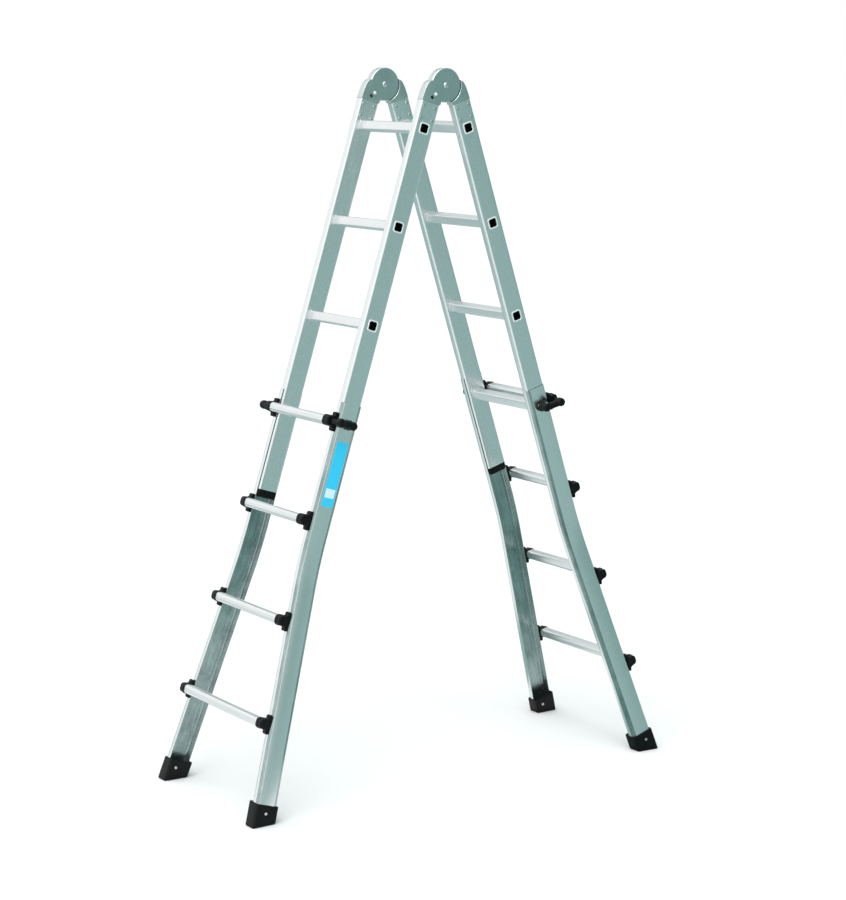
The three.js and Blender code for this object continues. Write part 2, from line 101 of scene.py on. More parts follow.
# ---- sizes taken from the frame, on the right leg's far side, which is +Y ----
STILE_LOW, STILE_HIGH = local_box("right_far_upper_stile")
LEG_X = (STILE_LOW.x + STILE_HIGH.x) / 2
STILE_Y = (STILE_LOW.y + STILE_HIGH.y) / 2
CHANNEL_LOW, CHANNEL_HIGH = local_box("right_far_lower_stile")
CHANNEL_POINTS = local_points("right_far_lower_stile")
CHANNEL_OUTER = CHANNEL_POINTS[CHANNEL_POINTS[:, 2] > CHANNEL_HIGH.z - MM][:, 1].max()
FLARE_START = 1.300
FLARE_END = 1.440
FLARE_SLOPE = (CHANNEL_HIGH.y - CHANNEL_OUTER) / (-CHANNEL_LOW.z - (FLARE_START + FLARE_END) / 2)

STILE_WALL = 2 * MM
STILE_CORNER = 6 * MM
CHANNEL_WALL = 2.4 * MM
CHANNEL_CORNER = 10 * MM
CHANNEL_RIB = 0.3 * MM
CHANNEL_RIBS = (11.2 * MM, 8.9 * MM)
PIN_HOLE_RADIUS = 8.1 * MM
RUNG_CORNER = 5 * MM
RUNG_WALL = 2 * MM
RUNG_SIZE = 28 * MM
RUNG_HOLE = 28.6 * MM
BORE_CORNER = 5 * MM
LOWER_RUNG_CORNER = 9 * MM
CORNER_STEPS = 8
SHARP = math.radians(32)


def flare(distance):
    """Outward bend of a lower stile at a distance below the pivot."""
    if distance <= FLARE_START:
        return 0.0
    if distance < FLARE_END:
        return FLARE_SLOPE * (distance - FLARE_START) ** 2 / (2 * (FLARE_END - FLARE_START))
    return FLARE_SLOPE * (distance - (FLARE_START + FLARE_END) / 2)


def bend_outwards(bm):
    for v in bm.verts:
        v.co.y += flare(-v.co.z)


# ---- drawing ----
def rounded_rectangle(width, height, radius, steps=CORNER_STEPS):
    """Points round a rectangle with round corners, centred on the origin."""
    points = []
    for quarter, (x, y) in enumerate(((1, 1), (-1, 1), (-1, -1), (1, -1))):
        for step in range(steps + 1):
            turn = math.pi / 2 * (quarter + step / steps)
            points.append((x * (width / 2 - radius) + radius * math.cos(turn),
                           y * (height / 2 - radius) + radius * math.sin(turn)))
    return points


def curve(start, control, end, steps=10):
    """Points on a quadratic curve after its start."""
    points = []
    for i in range(1, steps + 1):
        t = i / steps
        points.append(tuple((1 - t) ** 2 * a + 2 * t * (1 - t) * b + t * t * c
                            for a, b, c in zip(start, control, end)))
    return points


def circle(radius, steps):
    turns = [2 * math.pi * i / steps for i in range(steps)]
    return [(radius * math.cos(t), radius * math.sin(t)) for t in turns]


def upright(points, z, x=0.0, y=0.0):
    """A flat outline laid square to the leg's length."""
    return [(x + u, y + v, z) for u, v in points]


def crosswise(points, y, x=0.0, z=0.0):
    """A flat outline laid square to the rungs."""
    return [(x + u, y, z + v) for u, v in points]


def loft(bm, loops, ring=False):
    """A closed skin through loops of points; a ring joins the last loop to the first."""
    rows = [[bm.verts.new(p) for p in loop] for loop in loops]
    pairs = list(zip(rows, rows[1:]))
    if ring:
        pairs.append((rows[-1], rows[0]))
    for a, b in pairs:
        for i in range(len(a)):
            j = (i + 1) % len(a)
            bm.faces.new((a[i], a[j], b[j], b[i]))
    if not ring:
        bm.faces.new(rows[0])
        bm.faces.new(reversed(rows[-1]))
    return bm


def turned(bm, profile, x=0.0, z=0.0, steps=32):
    """A piece turned about an axis along Y. The profile lists (radius, y) pairs."""
    return loft(bm, [crosswise(circle(radius, steps), y, x, z) for radius, y in profile])


def prism(bm, outline, y_low, y_high, x=0.0, z=0.0):
    return loft(bm, [crosswise(outline, y_low, x, z), crosswise(outline, y_high, x, z)])


def block(bm, low, high):
    size = Vector(high) - Vector(low)
    middle = (Vector(high) + Vector(low)) / 2
    matrix = Matrix.Translation(middle) @ Matrix.Diagonal(size).to_4x4()
    bmesh.ops.create_cube(bm, size=1, matrix=matrix)
    return bm


def temporary(bm):
    bmesh.ops.recalc_face_normals(bm, faces=bm.faces)
    mesh = bpy.data.meshes.new("temporary")
    bm.to_mesh(mesh)
    bm.free()
    obj = bpy.data.objects.new("temporary", mesh)
    bpy.context.scene.collection.objects.link(obj)
    return obj


def modified(bm, *steps):
    """bm after modifiers. A step is (type, settings), and a boolean's object is a bmesh."""
    obj = temporary(bm)
    extras = []
    for kind, settings in steps:
        modifier = obj.modifiers.new(kind, kind)
        for key, value in settings.items():
            if isinstance(value, bmesh.types.BMesh):
                value = temporary(value)
                extras.append(value)
            setattr(modifier, key, value)
    graph = bpy.context.evaluated_depsgraph_get()
    mesh = bpy.data.meshes.new_from_object(obj.evaluated_get(graph), depsgraph=graph)
    made = bmesh.new()
    made.from_mesh(mesh)
    for extra in [obj, *extras]:
        data = extra.data
        bpy.data.objects.remove(extra)
        bpy.data.meshes.remove(data)
    bpy.data.meshes.remove(mesh)
    return made


def cut(bm, cutter):
    return modified(bm, ("BOOLEAN", {"operation": "DIFFERENCE", "solver": "MANIFOLD", "object": cutter}))


def joined(bm, *others):
    steps = [("BOOLEAN", {"operation": "UNION", "solver": "MANIFOLD", "object": other}) for other in others]
    return modified(bm, *steps)


def bevelled(bm, width, segments=3, angle=40):
    return modified(bm, ("BEVEL", {"width": width, "segments": segments, "limit_method": "ANGLE",
                                   "angle_limit": math.radians(angle), "harden_normals": False}))


def moulded(bm, voxel, smoothing):
    """Overlapping solids melted into one soft-edged moulding."""
    return modified(bm, ("REMESH", {"mode": "VOXEL", "voxel_size": voxel}),
                    ("SMOOTH", {"factor": 0.5, "iterations": smoothing}))


def mirrored(bm):
    """The same piece on the -Y side."""
    copy = bm.copy()
    for v in copy.verts:
        v.co.y = -v.co.y
    return copy


def shifted(bm, offset):
    copy = bm.copy()
    bmesh.ops.translate(copy, verts=copy.verts, vec=offset)
    return copy


def add(bm, other):
    """Puts a copy of another bmesh's faces into bm, and frees the other."""
    mesh = bpy.data.meshes.new("added")
    other.to_mesh(mesh)
    other.free()
    bm.from_mesh(mesh)
    bpy.data.meshes.remove(mesh)


def on_side(bm, sign):
    return mirrored(bm) if sign < 0 else bm.copy()


GRAIN = "leg_place"


def piece(name, bm, leg, body, materials, stands_for=(), paint=None):
    """Makes a piece from a bmesh in its leg's frame, and gives it its place, body and finish."""
    bmesh.ops.recalc_face_normals(bm, faces=bm.faces)
    if paint:
        for face in bm.faces:
            face.material_index = paint(face)
    mesh = bpy.data.meshes.new(name)
    bm.to_mesh(mesh)
    bm.free()
    mesh.polygons.foreach_set("use_smooth", [True] * len(mesh.polygons))
    mesh.set_sharp_from_angle(angle=SHARP)
    co = np.empty(len(mesh.vertices) * 3, np.float32)
    mesh.vertices.foreach_get("co", co)
    mesh.attributes.new(GRAIN, "FLOAT_VECTOR", "POINT").data.foreach_set("vector", co)
    mesh.transform(LEGS[leg])
    for material in materials:
        mesh.materials.append(material)
    obj = bpy.data.objects.new(name, mesh)
    bpy.context.scene.collection.objects.link(obj)
    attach(obj, body)
    if stands_for:
        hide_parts(*stands_for)


# ---- materials ----
class Nodes:
    """A short way to write a material's node tree."""

    def __init__(self, name):
        self.material = bpy.data.materials.new(name)
        self.material.use_nodes = True
        self.tree = self.material.node_tree
        self.shader = self.tree.nodes["Principled BSDF"]
        place = self.tree.nodes.new("ShaderNodeAttribute")
        place.attribute_name = GRAIN
        self.place = place.outputs["Vector"]

    def link(self, a, b):
        self.tree.links.new(a, b)

    def noise(self, scale, stretch=(1, 1, 1), detail=3, roughness=0.55):
        mapping = self.tree.nodes.new("ShaderNodeMapping")
        mapping.inputs["Scale"].default_value = stretch
        self.link(self.place, mapping.inputs["Vector"])
        noise = self.tree.nodes.new("ShaderNodeTexNoise")
        noise.inputs["Scale"].default_value = scale
        noise.inputs["Detail"].default_value = detail
        noise.inputs["Roughness"].default_value = roughness
        self.link(mapping.outputs["Vector"], noise.inputs["Vector"])
        return noise.outputs["Fac"]

    def between(self, value, low, high, from_low=0.3, from_high=0.7):
        """value's range from_low to from_high stretched to low to high."""
        node = self.tree.nodes.new("ShaderNodeMapRange")
        limits = {"From Min": from_low, "From Max": from_high, "To Min": low, "To Max": high}
        for key, number in limits.items():
            node.inputs[key].default_value = number
        self.link(value, node.inputs["Value"])
        return node.outputs["Result"]

    def maths(self, operation, a, b):
        node = self.tree.nodes.new("ShaderNodeMath")
        node.operation = operation
        for socket, value in zip(node.inputs, (a, b)):
            if isinstance(value, (int, float)):
                socket.default_value = value
            else:
                self.link(value, socket)
        return node.outputs["Value"]

    def mix(self, factor, a, b):
        node = self.tree.nodes.new("ShaderNodeMix")
        node.data_type = "RGBA"
        self.link(factor, node.inputs["Factor"])
        for name, value in (("A", a), ("B", b)):
            socket = [s for s in node.inputs if s.name == name and s.type == "RGBA"][0]
            if isinstance(value, tuple):
                socket.default_value = (*value, 1)
            else:
                self.link(value, socket)
        return [s for s in node.outputs if s.type == "RGBA"][0]

    def bump(self, height, distance, normal=None):
        node = self.tree.nodes.new("ShaderNodeBump")
        node.inputs["Distance"].default_value = distance
        node.inputs["Strength"].default_value = 1
        self.link(height, node.inputs["Height"])
        if normal:
            self.link(normal, node.inputs["Normal"])
        return node.outputs["Normal"]

    def finish(self, colour=None, roughness=None, normal=None, **sockets):
        for name, value in (("Base Color", colour), ("Roughness", roughness), ("Normal", normal)):
            if value is not None:
                self.link(value, self.shader.inputs[name])
        for name, value in sockets.items():
            self.shader.inputs[name.replace("_", " ")].default_value = value
        return self.material


ALONG_LEG = (1, 1, 0.006)
ALONG_RUNG = (1, 0.01, 1)


def aluminium(name, light, dark, roughness, direction, metallic=1.0):
    """Extruded aluminium: fine die lines along its length, a soft mottle, and small scuffs."""
    n = Nodes(name)
    lines = n.noise(900, direction, detail=4, roughness=0.7)
    wide_lines = n.noise(160, direction, detail=2)
    mottle = n.noise(14, detail=4)
    scuffs = n.noise(260, (1, 1, 0.25), detail=6, roughness=0.75)
    shade = n.maths("ADD", n.between(mottle, 0.0, 0.65), n.between(wide_lines, 0.0, 0.35))
    colour = n.mix(shade, light, dark)
    worn = n.between(scuffs, 0.0, 1.0, 0.66, 0.74)
    colour = n.mix(n.maths("MULTIPLY", worn, 0.35), colour, tuple(min(1, c * 1.15) for c in light))
    grain = n.between(lines, roughness - 0.04, roughness + 0.04)
    gloss = n.maths("ADD", grain, n.maths("MULTIPLY", worn, 0.08))
    normal = n.bump(lines, 0.000007)
    normal = n.bump(wide_lines, 0.000012, normal=normal)
    return n.finish(colour, gloss, normal, Metallic=metallic)


def casting(name, light, dark, roughness):
    """Cast aluminium: a fine sandy skin with slight dips and dark specks."""
    n = Nodes(name)
    sand = n.noise(1500, detail=5, roughness=0.7)
    dips = n.noise(120, detail=3)
    cloud = n.noise(22, detail=4)
    colour = n.mix(n.between(cloud, 0.0, 1.0), light, dark)
    specks = n.between(sand, 0.0, 0.5, 0.62, 0.75)
    colour = n.mix(specks, colour, tuple(c * 0.72 for c in dark))
    normal = n.bump(sand, 0.00007)
    normal = n.bump(dips, 0.00020, normal=normal)
    return n.finish(colour, n.between(sand, roughness - 0.06, roughness + 0.08), normal, Metallic=1.0)


def steel(name, light, dark, roughness, metallic=1.0):
    """Zinc-plated steel: bright, with a faint cloudy plating."""
    n = Nodes(name)
    cloud = n.noise(300, detail=4)
    fine = n.noise(2200, detail=3)
    colour = n.mix(n.between(cloud, 0.0, 1.0), light, dark)
    normal = n.bump(fine, 0.00003)
    return n.finish(colour, n.between(cloud, roughness - 0.06, roughness + 0.08), normal, Metallic=metallic)


def plastic(name, light, dark, roughness):
    """Moulded black plastic: a fine spark-eroded texture with greyer rubbed patches."""
    n = Nodes(name)
    texture = n.noise(1700, detail=4, roughness=0.65)
    rubbed = n.noise(70, detail=5, roughness=0.6)
    colour = n.mix(n.between(rubbed, 0.0, 1.0, 0.45, 0.75), dark, light)
    gloss = n.maths("ADD", n.between(texture, roughness - 0.05, roughness + 0.05),
                    n.between(rubbed, 0.0, 0.08, 0.45, 0.75))
    normal = n.bump(texture, 0.00008)
    return n.finish(colour, gloss, normal, Metallic=0.0, Specular_IOR_Level=0.18)


def sticker_film(name, blue, deep, pale, panel_low, panel_high, along):
    """Printed film: plain blue with one plain pale panel, and a faint print mottle."""
    n = Nodes(name)
    split = n.tree.nodes.new("ShaderNodeSeparateXYZ")
    n.link(n.place, split.inputs["Vector"])
    mottle = n.noise(420, detail=4)
    colour = n.mix(n.between(mottle, 0.0, 1.0), blue, deep)
    inside = None
    for axis, low, high in (("X", panel_low, panel_high), ("Z", along[0], along[1])):
        middle = (low + high) / 2
        off = n.maths("ABSOLUTE", n.maths("SUBTRACT", split.outputs[axis], middle), 0.0)
        within = n.maths("LESS_THAN", off, (high - low) / 2)
        inside = within if inside is None else n.maths("MULTIPLY", inside, within)
    colour = n.mix(inside, colour, pale)
    normal = n.bump(mottle, 0.00003)
    return n.finish(colour, n.between(mottle, 0.27, 0.36), normal, Metallic=0.0, Coat_Weight=0.3)


UPPER_ALUMINIUM = aluminium("upper_stile_aluminium", (0.77, 0.80, 0.80), (0.73, 0.765, 0.765), 0.27,
                            ALONG_LEG)
LOWER_ALUMINIUM = aluminium("lower_stile_aluminium", (0.78, 0.81, 0.81), (0.74, 0.775, 0.775), 0.24,
                            ALONG_LEG)
# Painted shade: a dark copy of the stile aluminium for the web's inner face and the cut lips of each
# channel, standing in for the shade inside the channel and in the gaps at its lips.
CHANNEL_INSIDE_SHADE = aluminium("lower_stile_inside_painted_shade", (0.40, 0.50, 0.49), (0.16, 0.225, 0.22), 0.28, ALONG_LEG)
RUNG_ALUMINIUM = aluminium("upper_rung_aluminium", (0.79, 0.81, 0.81), (0.74, 0.765, 0.765), 0.34,
                           ALONG_RUNG)
TREAD_ALUMINIUM = aluminium("lower_rung_aluminium", (0.81, 0.83, 0.83), (0.77, 0.79, 0.79), 0.34,
                            ALONG_RUNG)
# Painted highlight: the flared rims round the rung ends are a whiter, less metallic copy of the rung
# aluminium, standing in for the bright edge they catch.
RIM_HIGHLIGHT = aluminium("rung_rim_painted_highlight", (0.90, 0.92, 0.92), (0.84, 0.87, 0.87), 0.42, ALONG_RUNG, 0.3)
# Painted shade: near-black aluminium inside the open rung ends, standing in for the shade deep in the tube.
BORE_SHADE = aluminium("rung_bore_painted_shade", (0.060, 0.065, 0.068), (0.035, 0.040, 0.042), 0.55, ALONG_RUNG)
CASTING = casting("hinge_casting", (0.48, 0.585, 0.57), (0.42, 0.52, 0.505), 0.38)
# Painted highlight: a lighter copy of the hinge casting for the castings' outer edges above the stile,
# against the darker casting on their flat sides and rivets.
CAST_EDGE_HIGHLIGHT = casting("hinge_edge_painted_highlight", (0.66, 0.71, 0.705), (0.60, 0.65, 0.645), 0.36)
STEEL = steel("steel", (0.66, 0.70, 0.70), (0.55, 0.60, 0.60), 0.36)
# Painted highlight: the thumb buttons are a whiter, less metallic steel, standing in for the highlight on
# their domes.
BUTTON_HIGHLIGHT_STEEL = steel("button_steel_painted_highlight", (0.90, 0.92, 0.92), (0.80, 0.83, 0.83), 0.38, 0.35)
# Painted shade: the latch bolt deep in its slot is near-black steel, standing in for the shade in the slot.
LATCH_BOLT_SHADE = steel("latch_bolt_painted_shade", (0.050, 0.055, 0.057), (0.028, 0.032, 0.033), 0.45)
PLASTIC = plastic("black_plastic", (0.0045, 0.0055, 0.0055), (0.0014, 0.0018, 0.002), 0.46)


# ---- upper section ----
def upper_stile():
    """A closed tube with round corners and a square hole for each rung end."""
    depth = STILE_HIGH.x - STILE_LOW.x
    thickness = STILE_HIGH.y - STILE_LOW.y
    chamfer = 0.4 * MM
    bm = bmesh.new()
    loops = []
    for inset, z in ((chamfer, STILE_LOW.z), (0, STILE_LOW.z + chamfer), (0, STILE_HIGH.z - chamfer),
                     (chamfer, STILE_HIGH.z), (STILE_WALL, STILE_HIGH.z), (STILE_WALL, STILE_LOW.z)):
        outline = rounded_rectangle(depth - 2 * inset, thickness - 2 * inset, STILE_CORNER - inset)
        loops.append(upright(outline, z, LEG_X, STILE_Y))
    loft(bm, loops, ring=True)
    cutter = bmesh.new()
    hole = rounded_rectangle(RUNG_HOLE, RUNG_HOLE, RUNG_CORNER)
    for number in RUNG_NUMBERS:
        z = (LEGS["right"].inverted() @ centre(f"right_upper_rung_{number}")).z
        prism(cutter, hole, STILE_Y - 30 * MM, STILE_Y + 30 * MM, LEG_X, z)
    return cut(bm, cutter)


def ribbed_outline(width, height, corner, ribs, pitch, depth):
    """A rounded rectangle with shallow grooves along its top."""
    points = rounded_rectangle(width, height, corner)
    top = []
    for i in range(ribs, -1, -1):
        middle = (i - ribs / 2) * pitch
        for du, dv in ((0.26, 0), (0.14, -depth), (-0.14, -depth), (-0.26, 0)):
            top.append((middle + du * pitch, height / 2 + dv))
    first = CORNER_STEPS + 1
    return points[:first] + top + points[first:]


def upper_rung():
    """A square tube with a grooved tread, held in each stile between flared rims."""
    low, high = local_box("right_upper_rung_1")
    size = RUNG_SIZE
    rim = (high.x - low.x) / 2
    end = high.y
    face = STILE_HIGH.y
    bm = bmesh.new()
    outline = ribbed_outline(size, size, RUNG_CORNER, 5, 2.9 * MM, 0.7 * MM)
    plain = rounded_rectangle(size, size, RUNG_CORNER)
    bore = rounded_rectangle(size - 2 * RUNG_WALL, size - 2 * RUNG_WALL, BORE_CORNER)
    inner_face = STILE_LOW.y
    prism(bm, outline, -inner_face, inner_face, LEG_X)
    tube_end = face + 0.2 * MM
    for sign in (-1, 1):
        loops = [crosswise(plain, sign * y, LEG_X) for y in (inner_face - MM, tube_end)]
        loops += [crosswise(bore, sign * y, LEG_X) for y in (tube_end, inner_face - MM)]
        loft(bm, loops, ring=True)
        outer_rim = ((size / 2 - 0.4 * MM, face + 0.1 * MM), (rim - 0.2 * MM, face + 0.05 * MM),
                     (rim, face + 0.5 * MM), (rim - 0.8 * MM, end - 0.3 * MM), (rim - 1.9 * MM, end),
                     (rim - 2.9 * MM, end - 0.1 * MM), (rim - 3.6 * MM, end - 0.5 * MM),
                     (size / 2 - RUNG_WALL, end - 1.5 * MM))
        bead = size / 2 + 1.1 * MM
        inner_rim = ((size / 2 - 0.4 * MM, inner_face), (bead - 0.2 * MM, inner_face - 0.2 * MM),
                     (bead, inner_face - 0.5 * MM), (bead - 0.5 * MM, inner_face - 0.9 * MM),
                     (size / 2 - 0.4 * MM, inner_face - 1.0 * MM))
        for profile in (outer_rim, inner_rim):
            loops = []
            for half, y in profile:
                corner = max(BORE_CORNER, RUNG_CORNER + half - size / 2)
                loops.append(crosswise(rounded_rectangle(2 * half, 2 * half, corner), sign * y, LEG_X))
            loft(bm, loops, ring=True)
    return bm


def rung_shade_and_highlight_paint(z):
    """A paint rule for a rung: 1, near-black as painted shade, inside its open ends, 2, whiter as a painted
    highlight, on the rims round them, and 0 elsewhere.
    """
    def paint(face):
        middle = face.calc_center_median()
        deep = STILE_LOW.y - 2 * MM < abs(middle.y) < STILE_HIGH.y - 0.2 * MM
        within = max(abs(middle.x - LEG_X), abs(middle.z - z)) < 12.2 * MM
        if deep and within:
            return 1
        return 2 if abs(middle.y) > STILE_HIGH.y else 0
    return paint


def guide_cap():
    """A plastic plug in the lower end of an upper stile, with a round-edged skirt below it."""
    low, high = local_box("right_far_guide_cap")
    depth = high.x - low.x
    thickness = high.y - low.y
    skirt_top = STILE_LOW.z - 0.2 * MM
    radius = 5 * MM
    bottom = low.z
    rounding = [(radius * (1 - math.sin(t)), bottom + radius * (1 - math.cos(t)))
                for t in (0, 0.35, 0.7, 1.05, 1.35, math.pi / 2)]
    profile = rounding + [(0, skirt_top - 5 * MM), (0.5 * MM, skirt_top - 4.6 * MM),
                          (0.5 * MM, skirt_top - 4 * MM), (0, skirt_top - 3.6 * MM),
                          (0, skirt_top - 0.5 * MM), (0.5 * MM, skirt_top)]
    profile += [(STILE_WALL + 0.3 * MM, skirt_top), (STILE_WALL + 0.3 * MM, high.z)]
    loops = []
    arch = 9 * MM
    for inset, z in profile:
        corner = max(STILE_CORNER - inset, 1.2 * MM)
        outline = rounded_rectangle(depth - 2 * inset, thickness - 2 * inset, corner)
        rise = arch if z < bottom + radius + 0.01 * MM else 0
        loops.append([(px, py, pz + rise * (2 * (px - LEG_X) / depth) ** 2)
                      for px, py, pz in upright(outline, z, LEG_X, STILE_Y)])
    return loft(bmesh.new(), loops)


# ---- lower section ----
def softened(points, radius=0.8 * MM):
    """The inner points of a line of points, each split in two so that the corner there is small and soft."""
    made = []
    for before, corner, after in zip(points, points[1:], points[2:]):
        for other in (before, after):
            share = radius / math.dist(corner, other)
            made.append(tuple(c + share * (o - c) for c, o in zip(corner, other)))
    return made


def channel_outline():
    """A C-shaped section that opens towards the middle, with flats along its outer corners.

    Two low ribs stand on each half of the web's inner face."""
    half = (CHANNEL_HIGH.x - CHANNEL_LOW.x) / 2
    lip = CHANNEL_LOW.y
    inner_radius = CHANNEL_CORNER - CHANNEL_WALL
    arc_y = CHANNEL_OUTER - CHANNEL_CORNER
    arc_x = half - CHANNEL_CORNER
    turns = [math.pi / 2 * i / 10 for i in range(11)]
    lip_radius = CHANNEL_WALL / 2
    lip_turns = [math.pi * i / 6 for i in range(1, 6)]
    start = (half, lip + lip_radius)
    front = [(half, CHANNEL_OUTER - 9 * MM), (half - 6.3 * MM, CHANNEL_OUTER)]
    back = [(half, CHANNEL_OUTER - 8.2 * MM), (half - 4 * MM, CHANNEL_OUTER - 4 * MM),
            (half - 12 * MM, CHANNEL_OUTER)]
    outside = [start, *softened([start, *front, (0, CHANNEL_OUTER)])]
    behind = [start, *softened([start, *back, (0, CHANNEL_OUTER)])]
    web = CHANNEL_OUTER - CHANNEL_WALL
    rib = CHANNEL_RIB
    inside = [(half - CHANNEL_WALL, lip + lip_radius)]
    inside += [(arc_x + inner_radius * math.cos(t), arc_y + inner_radius * math.sin(t)) for t in turns]
    for x in CHANNEL_RIBS:
        inside += [(x + rib, web), (x + rib / 2, web - rib), (x - rib / 2, web - rib), (x - rib, web)]
    tip = [(half - lip_radius + lip_radius * math.cos(t), lip + lip_radius - lip_radius * math.sin(t))
           for t in lip_turns]
    left = [(-x, y) for x, y in reversed(behind)]
    left_tip = [(-x, y) for x, y in tip]
    left_inside = [(-x, y) for x, y in inside]
    return outside + left + left_tip + left_inside + list(reversed(inside)) + list(reversed(tip))


def channel_levels():
    steps = 28
    middle = [FLARE_START - 0.02 + (FLARE_END - FLARE_START + 0.04) * i / steps for i in range(steps + 1)]
    return [-CHANNEL_HIGH.z, *middle, -CHANNEL_LOW.z]


def lower_stile():
    outline = channel_outline()
    bm = bmesh.new()
    loft(bm, [upright(outline, -distance, LEG_X) for distance in channel_levels()])
    bend_outwards(bm)
    cutter = bmesh.new()
    z = (LEGS["right"].inverted() @ centre("right_upper_rung_4")).z
    hole = [(PIN_HOLE_RADIUS, CHANNEL_OUTER - 10 * MM), (PIN_HOLE_RADIUS, CHANNEL_OUTER + 10 * MM)]
    turned(cutter, hole, LEG_X, z)
    return cut(bm, cutter)


def channel_shade_paint(face):
    """1, a dark copy of the aluminium as painted shade, on the inner face of the web and on the cut lips,
    and 0 on the rest.
    """
    middle = face.calc_center_median()
    inwards = abs(middle.y) - flare(-middle.z) < CHANNEL_OUTER - 0.6 * CHANNEL_WALL
    return 1 if inwards and abs(face.normal.y) > 0.3 else 0


def lower_rung(number):
    """The outer shape of a lower rung, solid inside: a grooved tread on top and a grooved front."""
    low, high = local_box(f"right_lower_rung_{number}")
    depth = high.x - low.x
    height = high.z - low.z
    outline = ribbed_outline(depth, height, LOWER_RUNG_CORNER, 3, 3.0 * MM, 0.7 * MM)
    middle_x, middle_z = (low.x + high.x) / 2, (low.z + high.z) / 2
    groove = front_groove(outline, depth)
    return prism(bmesh.new(), groove, low.y, high.y, middle_x, middle_z)


def front_groove(outline, depth):
    """outline with two shallow grooves along the middle of its front face."""
    made = []
    for i, (u, v) in enumerate(outline):
        if i == 0:
            for z in (-1.2 * MM, 1.6 * MM):
                for dz, du in ((-0.55, 0), (-0.25, -0.45), (0.25, -0.45), (0.55, 0)):
                    made.append((depth / 2 + du * MM, z + dz * MM))
        made.append((u, v))
    return made


def rung_connector(number):
    """A moulded end, solid inside: a collar round the rung, and a saddle with round lobes."""
    low, high = local_box(f"right_far_rung_connector_{number}")
    rung_low, rung_high = local_box(f"right_lower_rung_{number}")
    margin = high.x - rung_high.x
    x, z = (rung_low.x + rung_high.x) / 2, (rung_low.z + rung_high.z) / 2
    depth = rung_high.x - rung_low.x
    height = rung_high.z - rung_low.z
    bm = bmesh.new()
    loops = []
    for inset, y in ((2.2, low.y), (1.2, low.y + 0.2 * MM), (0.4, low.y + 0.8 * MM), (0, low.y + 1.8 * MM),
                     (0, low.y + 9 * MM), (0.9, low.y + 10.2 * MM), (1.3, low.y + 12 * MM),
                     (1.3, high.y - 4 * MM), (2.0, high.y - 2 * MM), (3.4, high.y - 0.7 * MM),
                     (5.0, high.y)):
        grow = margin - inset * MM
        outline = rounded_rectangle(depth + 2 * grow, height + 2 * grow, LOWER_RUNG_CORNER + grow)
        loops.append(crosswise(outline, y, x, z))
    loft(bm, loops)
    lobe = 5 * MM
    saddle = low.x
    reach = (high.z - low.z) / 2 - lobe
    inner, outer = low.y + 6 * MM, high.y - 0.5 * MM
    for sign in (-1, 1):
        profile = [(lobe - 2 * MM, inner), (lobe, inner + 1.5 * MM), (lobe, outer - 2 * MM),
                   (lobe - 2 * MM, outer)]
        turned(bm, profile, saddle + lobe, z + sign * reach, 24)
    block(bm, (saddle, inner + MM, z - reach), (saddle + 7 * MM, outer - MM, z + reach))
    collar_half = height / 2 + margin - 1.3 * MM
    start, end = (saddle + 1.5 * lobe, z - reach - 0.6 * lobe), (x, z - collar_half)
    lower_edge = [start, *curve(start, (saddle + 1.7 * lobe, z - collar_half), end)]
    upper_edge = [(px, 2 * z - pz) for px, pz in reversed(lower_edge)]
    prism(bm, [(saddle, start[1]), *lower_edge, *upper_edge, (saddle, 2 * z - start[1])],
          inner + 0.5 * MM, outer - 0.5 * MM)
    return moulded(bm, 1.0 * MM, 3)


def floor_z(x):
    """Height in the leg's own frame of the floor below a place x out of the leg."""
    out, up = LEGS["right"].col[0], LEGS["right"].col[2]
    return -(PIVOT.z + x * out.z) / up.z


FOOT_LOW, FOOT_HIGH = local_box("right_far_foot")
FOOT_POINTS = local_points("right_far_foot")
FOOT_TOP_Y = FOOT_POINTS[FOOT_POINTS[:, 2] > FOOT_HIGH.z - MM][:, 1] - flare(-FOOT_HIGH.z)


def foot():
    """A moulded shoe round the end of a lower stile, with a ribbed sole level with the floor."""
    inner, outer = FOOT_TOP_Y.min(), FOOT_TOP_Y.max()
    depth, width = FOOT_HIGH.x - FOOT_LOW.x, outer - inner
    middle = (outer + inner) / 2
    corner = 8 * MM

    def outline(inset):
        return rounded_rectangle(depth - 2 * inset, width - 2 * inset, max(corner - inset, 2 * MM))

    loops = []
    sole = ((5.0, 0), (3.3, 0.3), (1.8, 1.2), (0.7, 2.6), (0.1, 4.4), (0, 6.2), (0.6, 6.6), (0.6, 7.4),
            (0, 7.8), (0, 10.4), (0.6, 10.8), (0.6, 11.6), (0, 12.0), (0, 14))
    for inset, height in sole:
        points = upright(outline(inset * MM), 0, LEG_X, middle)
        loops.append([(px, py, floor_z(px) + height * MM) for px, py, _ in points])
    top = FOOT_HIGH.z
    for inset, z in ((0, top - 3 * MM), (0.15 * MM, top - 1.2 * MM), (0.8 * MM, top - 0.2 * MM),
                     (1.6 * MM, top), (3.0 * MM, top), (3.6 * MM, top - 0.4 * MM),
                     (4.0 * MM, top - 1.5 * MM), (4.0 * MM, top - 6 * MM)):
        loops.append(upright(outline(inset), z, LEG_X, middle))
    bm = bmesh.new()
    loft(bm, loops)
    bend_outwards(bm)
    return bm


def screw(radius, height):
    """A pan head screw with a cross recess, its face towards +Y."""
    bm = bmesh.new()
    shape = ((0.6, -2), (0.9, 0), (1, 0.2), (0.96, 0.5), (0.82, 0.8), (0.5, 0.97), (0.2, 1))
    turned(bm, [(radius * r, height * h) for r, h in shape])
    cutter = bmesh.new()
    arm, half = 0.55 * radius, 0.13 * radius
    block(cutter, (-arm, 0.4 * height, -half), (arm, 2 * height, half))
    other = block(bmesh.new(), (-half, 0.35 * height, -arm), (half, 2.1 * height, arm))
    return cut(cut(bm, cutter), other)


